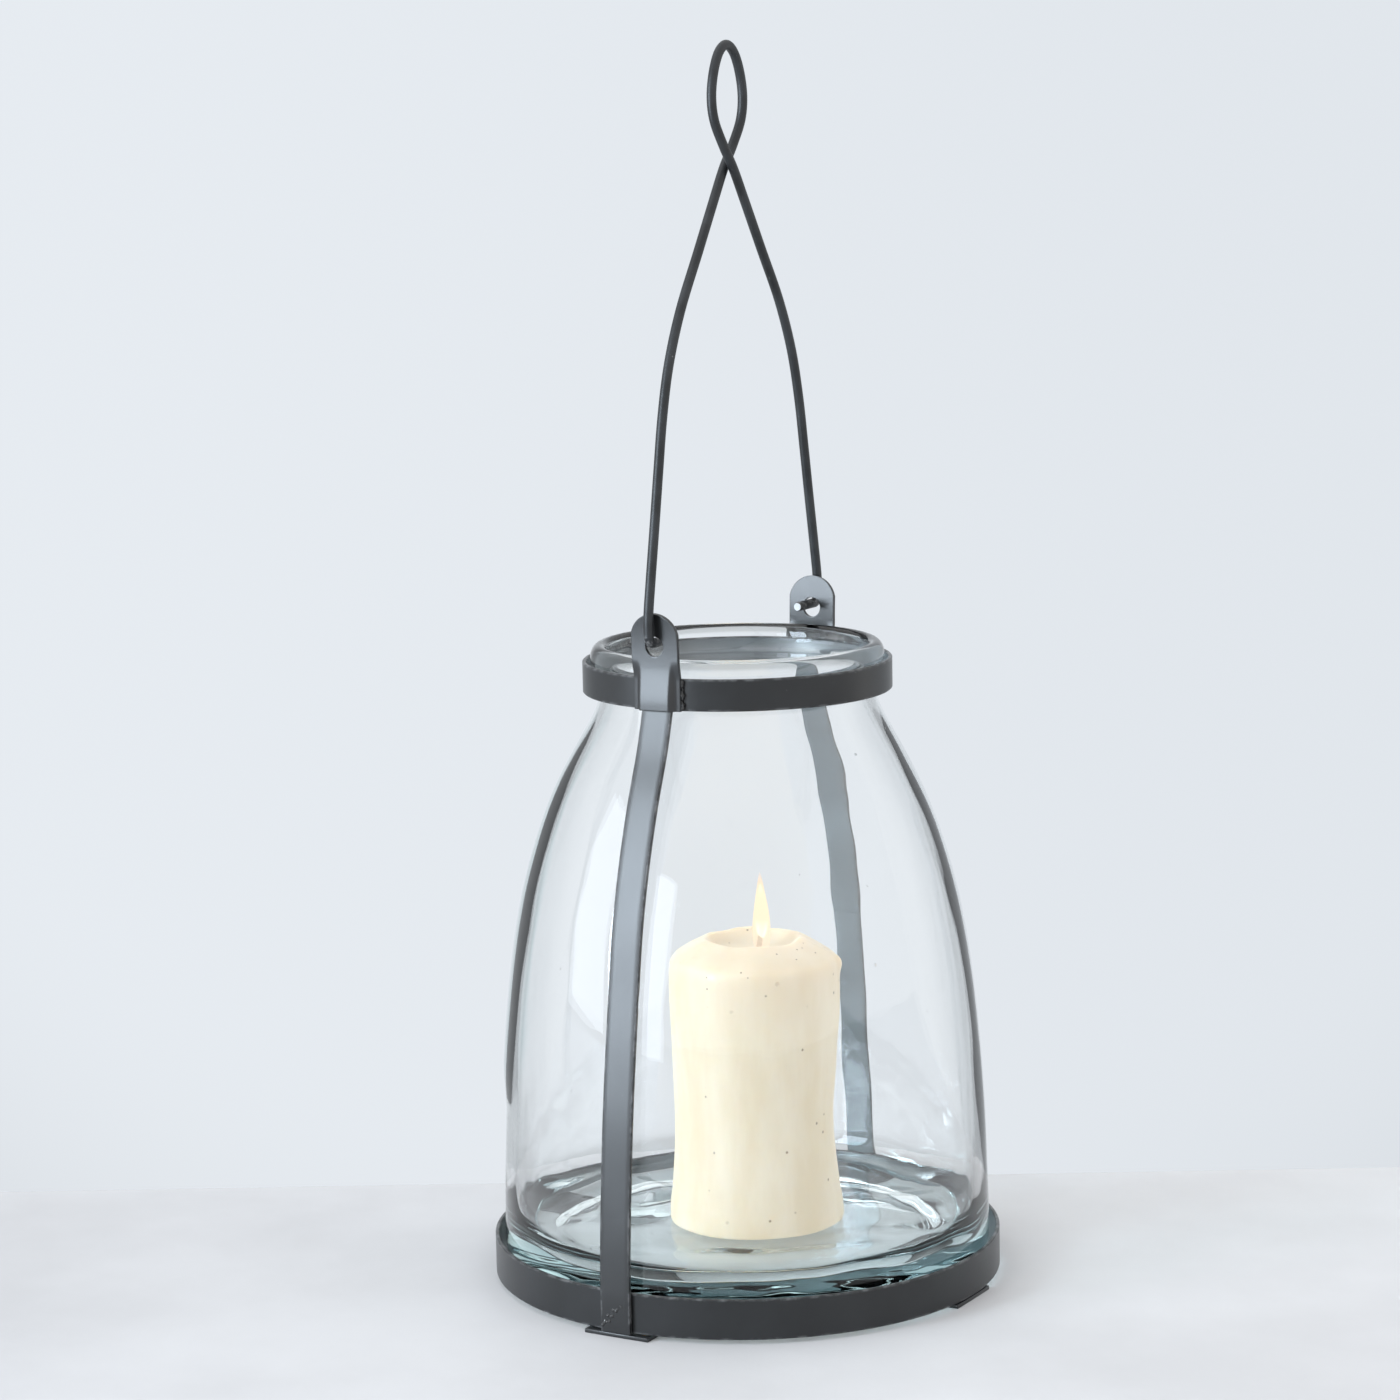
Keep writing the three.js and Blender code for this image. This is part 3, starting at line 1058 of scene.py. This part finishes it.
WICK_RADIUS = 1.15 * MM
WICK_SIDES = 14
BRAID_TURNS = 4200
BRAID_DEPTH = 0.12 * MM


def make_wick():
    """A braided wick that curls over a little, grown up from a round foot in the wax."""
    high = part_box("wick")[1]
    centre = candle_centre()
    top = high.z / MM
    route = smooth_line(
        [
            (centre.x / MM + 0.8, centre.y / MM - 1.5, 119.5),
            (centre.x / MM + 1.0, centre.y / MM - 1.9, 123.5),
            (centre.x / MM + 1.3, centre.y / MM - 2.4, 127.5),
            (centre.x / MM + 1.9, centre.y / MM - 3.2, top - 0.7),
        ],
        8,
    )
    wick = begin(
        bpy.ops.mesh.primitive_circle_add,
        "wick_braid",
        vertices=WICK_SIDES,
        radius=WICK_RADIUS,
        fill_type="NGON",
        location=route[0] * MM,
    )
    settle(wick)
    bpy.ops.object.mode_set(mode="EDIT")
    bpy.ops.mesh.select_all(action="SELECT")
    for before, after in zip(route, route[1:]):
        bpy.ops.mesh.extrude_region_move(TRANSFORM_OT_translate={"value": (after - before) * MM})
    bpy.ops.mesh.select_all(action="SELECT")
    bpy.ops.mesh.normals_make_consistent(inside=False)
    bpy.ops.object.mode_set(mode="OBJECT")
    apply_modifier(wick, "BEVEL", width=EDGE_EASE, segments=2, limit_method="ANGLE")
    apply_modifier(wick, "SUBSURF", levels=2, render_levels=2)
    for vertex in wick.data.vertices:
        bearing = math.atan2(vertex.normal.y, vertex.normal.x)
        strand = math.sin(vertex.co.z * BRAID_TURNS + 2 * bearing)
        vertex.co += vertex.normal * strand * BRAID_DEPTH
    smooth_shading(wick, 60)
    cotton = wick_cotton(route[0].z * MM, high.z)
    finish_piece(wick, cotton, "candle", ["wick"])


FLAME_BASE = 123.6 * MM
FLAME_LEAN_LENGTH = 28 * MM
FLAME_LEAN = (-0.15 * MM, 0.3 * MM)
OUTER_STRENGTH, CORE_STRENGTH = 1.15, 3.0
FLAME_STEPS = 32
FLAME_BASE_ALPHA = 0.7
OUTER_FLAME = [
    (0, 0),
    (2.4, 0.1),
    (3.3, 1.2),
    (3.7, 5),
    (3.6, 9),
    (3.0, 14),
    (2.3, 18.5),
    (1.4, 23),
    (0.6, 27.6),
    (0, 29.6),
]
FLAME_CORE = [
    (0, 4),
    (1.2, 4.4),
    (2.1, 6.5),
    (2.5, 9.5),
    (2.3, 13),
    (1.8, 17),
    (1.1, 21),
    (0.4, 24),
    (0, 25),
]
OUTER_COLOURS = [
    (0.0, (1.0, 0.78, 0.6, 1)),
    (0.3, (1.0, 0.84, 0.6, 1)),
    (0.7, (1.0, 0.86, 0.6, 1)),
    (1.0, (1.0, 0.7, 0.5, 1)),
]
CORE_COLOURS = [
    (0.0, (1.0, 0.85, 0.68, 1)),
    (0.35, (1.0, 0.95, 0.76, 1)),
    (0.6, (1.0, 0.97, 0.8, 1)),
    (1.0, (1.0, 0.9, 0.66, 1)),
]


def make_flame():
    """A flame that leans a little: a soft outer envelope with a brighter core inside it."""
    centre = candle_centre()
    foot = Vector((centre.x + 1.7 * MM, centre.y - 3.0 * MM, 0))
    for name, outline, strength, colours in (
        ("flame_outer", OUTER_FLAME, OUTER_STRENGTH, OUTER_COLOURS),
        ("flame_core", FLAME_CORE, CORE_STRENGTH, CORE_COLOURS),
    ):
        raised = [(radius, height + FLAME_BASE / MM) for radius, height in outline]
        flame = spun(name, raised, FLAME_STEPS, centre=(foot.x, foot.y))
        apply_modifier(flame, "SUBSURF", levels=2, render_levels=2)
        for vertex in flame.data.vertices:
            rise = (vertex.co.z - FLAME_BASE) / FLAME_LEAN_LENGTH
            vertex.co.x += FLAME_LEAN[0] * rise**2
            vertex.co.y += FLAME_LEAN[1] * rise**2
        for polygon in flame.data.polygons:
            polygon.use_smooth = True
        low = FLAME_BASE + outline[0][1] * MM
        high = FLAME_BASE + outline[-1][1] * MM
        light = flame_light(name + "_light", low, high, strength, colours)
        finish_piece(flame, light, "candle")


# ---------------------------------------------------------------- camera, light and floor

CAMERA_BEARING = math.radians(-60.5)
CAMERA_DISTANCE, CAMERA_HEIGHT = 1.3852, 0.4313
CAMERA_PITCH, CAMERA_YAW, CAMERA_ROLL = 8.722, -0.586, -1.121
CAMERA_SENSOR, CAMERA_LENS = 36, 96.43


def set_camera():
    """Stands near the height of the bail's loop, looking slightly down."""
    pitch, yaw, roll = (math.radians(a) for a in (CAMERA_PITCH, CAMERA_YAW, CAMERA_ROLL))
    camera = bpy.data.cameras.new("camera")
    camera.sensor_width = CAMERA_SENSOR
    camera.lens = CAMERA_LENS
    camera.clip_start = 0.05
    camera.clip_end = 50
    holder = bpy.data.objects.new("camera", camera)
    bpy.context.scene.collection.objects.link(holder)
    forward = Vector(
        (math.sin(yaw) * math.cos(pitch), math.cos(yaw) * math.cos(pitch), -math.sin(pitch))
    )
    right = Vector((math.cos(yaw), -math.sin(yaw), 0))
    up = right.cross(forward)
    rolled_right = right * math.cos(roll) + up * math.sin(roll)
    rolled_up = up * math.cos(roll) - right * math.sin(roll)
    axes = Matrix((rolled_right, rolled_up, -forward)).transposed().to_4x4()
    turn = Matrix.Rotation(CAMERA_BEARING, 4, "Z")
    stand = Matrix.Translation((0, -CAMERA_DISTANCE, CAMERA_HEIGHT))
    holder.matrix_world = turn @ stand @ axes
    bpy.context.scene.camera = holder


BOARD_WIDTH, BOARD_DEPTH, BOARD_BACK = 5, 2.2, 0.118
BOARD_TURN = 0.004
BOARD_SHADED = (0.42, 0.417, 0.422, 1)
BOARD_LIT = (0.667, 0.667, 0.677, 1)


def set_floor():
    """A pale board whose back edge lies just behind the lantern."""
    grid = {"x_subdivisions": 8, "y_subdivisions": 8, "size": 1}
    floor = begin(bpy.ops.mesh.primitive_grid_add, "floor", **grid)
    for vertex in floor.data.vertices:
        vertex.co.x *= BOARD_WIDTH
        vertex.co.y = (vertex.co.y - 0.5) * BOARD_DEPTH + BOARD_BACK
    floor.data.transform(Matrix.Rotation(CAMERA_BEARING + BOARD_TURN, 4, "Z"))
    material, shader, place = new_material("painted_board", {"Specular IOR Level": 0.3})
    across = place.mapped(turn=(0, 0, -CAMERA_BEARING)).axis("X")
    tone = place.clouds(6, 4).smooth(0.3, 0.7) * 0.3 + across.smooth(-0.75, 0.25) * 0.7
    drive(
        material,
        shader,
        Base_Color=tone.mix(BOARD_SHADED, BOARD_LIT),
        Roughness=0.55 + place.clouds(60, 4) * 0.2,
        Normal=place.clouds(90, 6).bump(0.0006, 0.35),
    )
    floor.data.materials.append(material)


WALL_LEFT = (0.795, 0.835, 0.88, 1)
WALL_RIGHT = (0.755, 0.795, 0.84, 1)
DARK_STRIPS = (0.56, 0.59, 0.62, 1)
ROOM_LEFT = (0.86, 0.88, 0.91, 1)
ROOM_RIGHT = (1.12, 1.12, 1.12, 1)
CEILING = (1.12, 1.13, 1.15, 1)


def set_world():
    """A pale studio: a bright wall beyond the lantern, darker strips at both sides of it, and soft
    white light from overhead and from the camera's side."""
    world = bpy.data.worlds.new("studio")
    bpy.context.scene.world = world
    world.use_nodes = True
    tree = world.node_tree
    tree.nodes.clear()
    start = Shade(tree)
    look = start.node("ShaderNodeTexCoord", out="Generated")

    def towards(x, y):
        away = Matrix.Rotation(CAMERA_BEARING, 3, "Z") @ Vector((x, y, 0))
        dot = {"operation": "DOT_PRODUCT"}
        return look.node("ShaderNodeVectorMath", dot, {0: look, 1: away}, 1)

    beyond, right = towards(0, 1), towards(1, 0)
    rise = look.axis("Z")
    wall = right.smooth(-0.2, 0.2).mix(WALL_LEFT, WALL_RIGHT)
    with_strips = beyond.smooth(0.965, 0.9).mix(wall, DARK_STRIPS)
    behind_camera = right.smooth(-0.5, 0.8).mix(ROOM_LEFT, ROOM_RIGHT)
    room = beyond.smooth(0.7, 0.2).mix(with_strips, behind_camera)
    studio = rise.smooth(0.3, 0.75).mix(room, CEILING)
    light = start.node("ShaderNodeBackground", None, {"Color": studio, "Strength": 1.0})
    output = tree.nodes.new("ShaderNodeOutputWorld")
    tree.links.new(light.socket, output.inputs["Surface"])


def add_panel(name, place, target, size, power, colour):
    """A soft rectangular lamp at a place in the camera's own directions: right, away, up."""
    lamp = bpy.data.lights.new(name, "AREA")
    lamp.shape = "RECTANGLE"
    lamp.size, lamp.size_y = size
    lamp.energy = power
    lamp.color = colour
    holder = bpy.data.objects.new(name, lamp)
    bpy.context.scene.collection.objects.link(holder)
    turn = Matrix.Rotation(CAMERA_BEARING, 4, "Z")
    position = turn @ Vector(place)
    aim = turn @ Vector(target) - position
    holder.location = position
    holder.rotation_euler = aim.to_track_quat("-Z", "Y").to_euler()


def set_lights():
    """A tall window on the left between two dim curtains, and a faint lamp overhead."""
    sky = (0.76, 0.88, 1.0)
    curtain = (0.84, 0.92, 1.0)
    warm = (1.0, 0.99, 0.98)
    add_panel("curtain_near", (-1.11, -1.15, 0.375), (0, 0, 0.375), (0.32, 0.75), 2.0, curtain)
    add_panel("window", (-1.386, -0.8, 0.56), (0, 0, 0.56), (0.44, 1.08), 23, sky)
    add_panel("curtain_far", (-1.58, -0.25, 0.5), (0, 0, 0.5), (0.62, 0.96), 3.4, curtain)
    add_panel("ceiling_lamp", (-0.9, -0.2, 2.4), (0, 0, 0.1), (1.6, 1.6), 5, warm)


# ---------------------------------------------------------------- assembly

set_camera()
bpy.context.scene.view_settings.view_transform = "Standard"
set_world()
set_lights()
set_floor()

sheet_coat = powder_coat("strap_coat", STEEL_GREY, strap_edges(STRAP_WIDTH))
plain_coat = powder_coat("lug_coat", STEEL_GREY)
# Faces that look in at the jar get the same coat painted lighter, as painted sheen.
inner_sheen_coat = powder_coat("inside_painted_sheen", INSIDE_SHEEN_GREY)
make_hoop("hoop_lower", "lower_hoop", inner_sheen_coat)
make_hoop("hoop_upper", "upper_hoop", inner_sheen_coat)
make_straps(sheet_coat, inner_sheen_coat)
make_lugs(plain_coat)
make_feet(plain_coat)
make_welds(weld_metal())
make_bail()
make_jar()
make_candle()
make_wick()
make_flame()
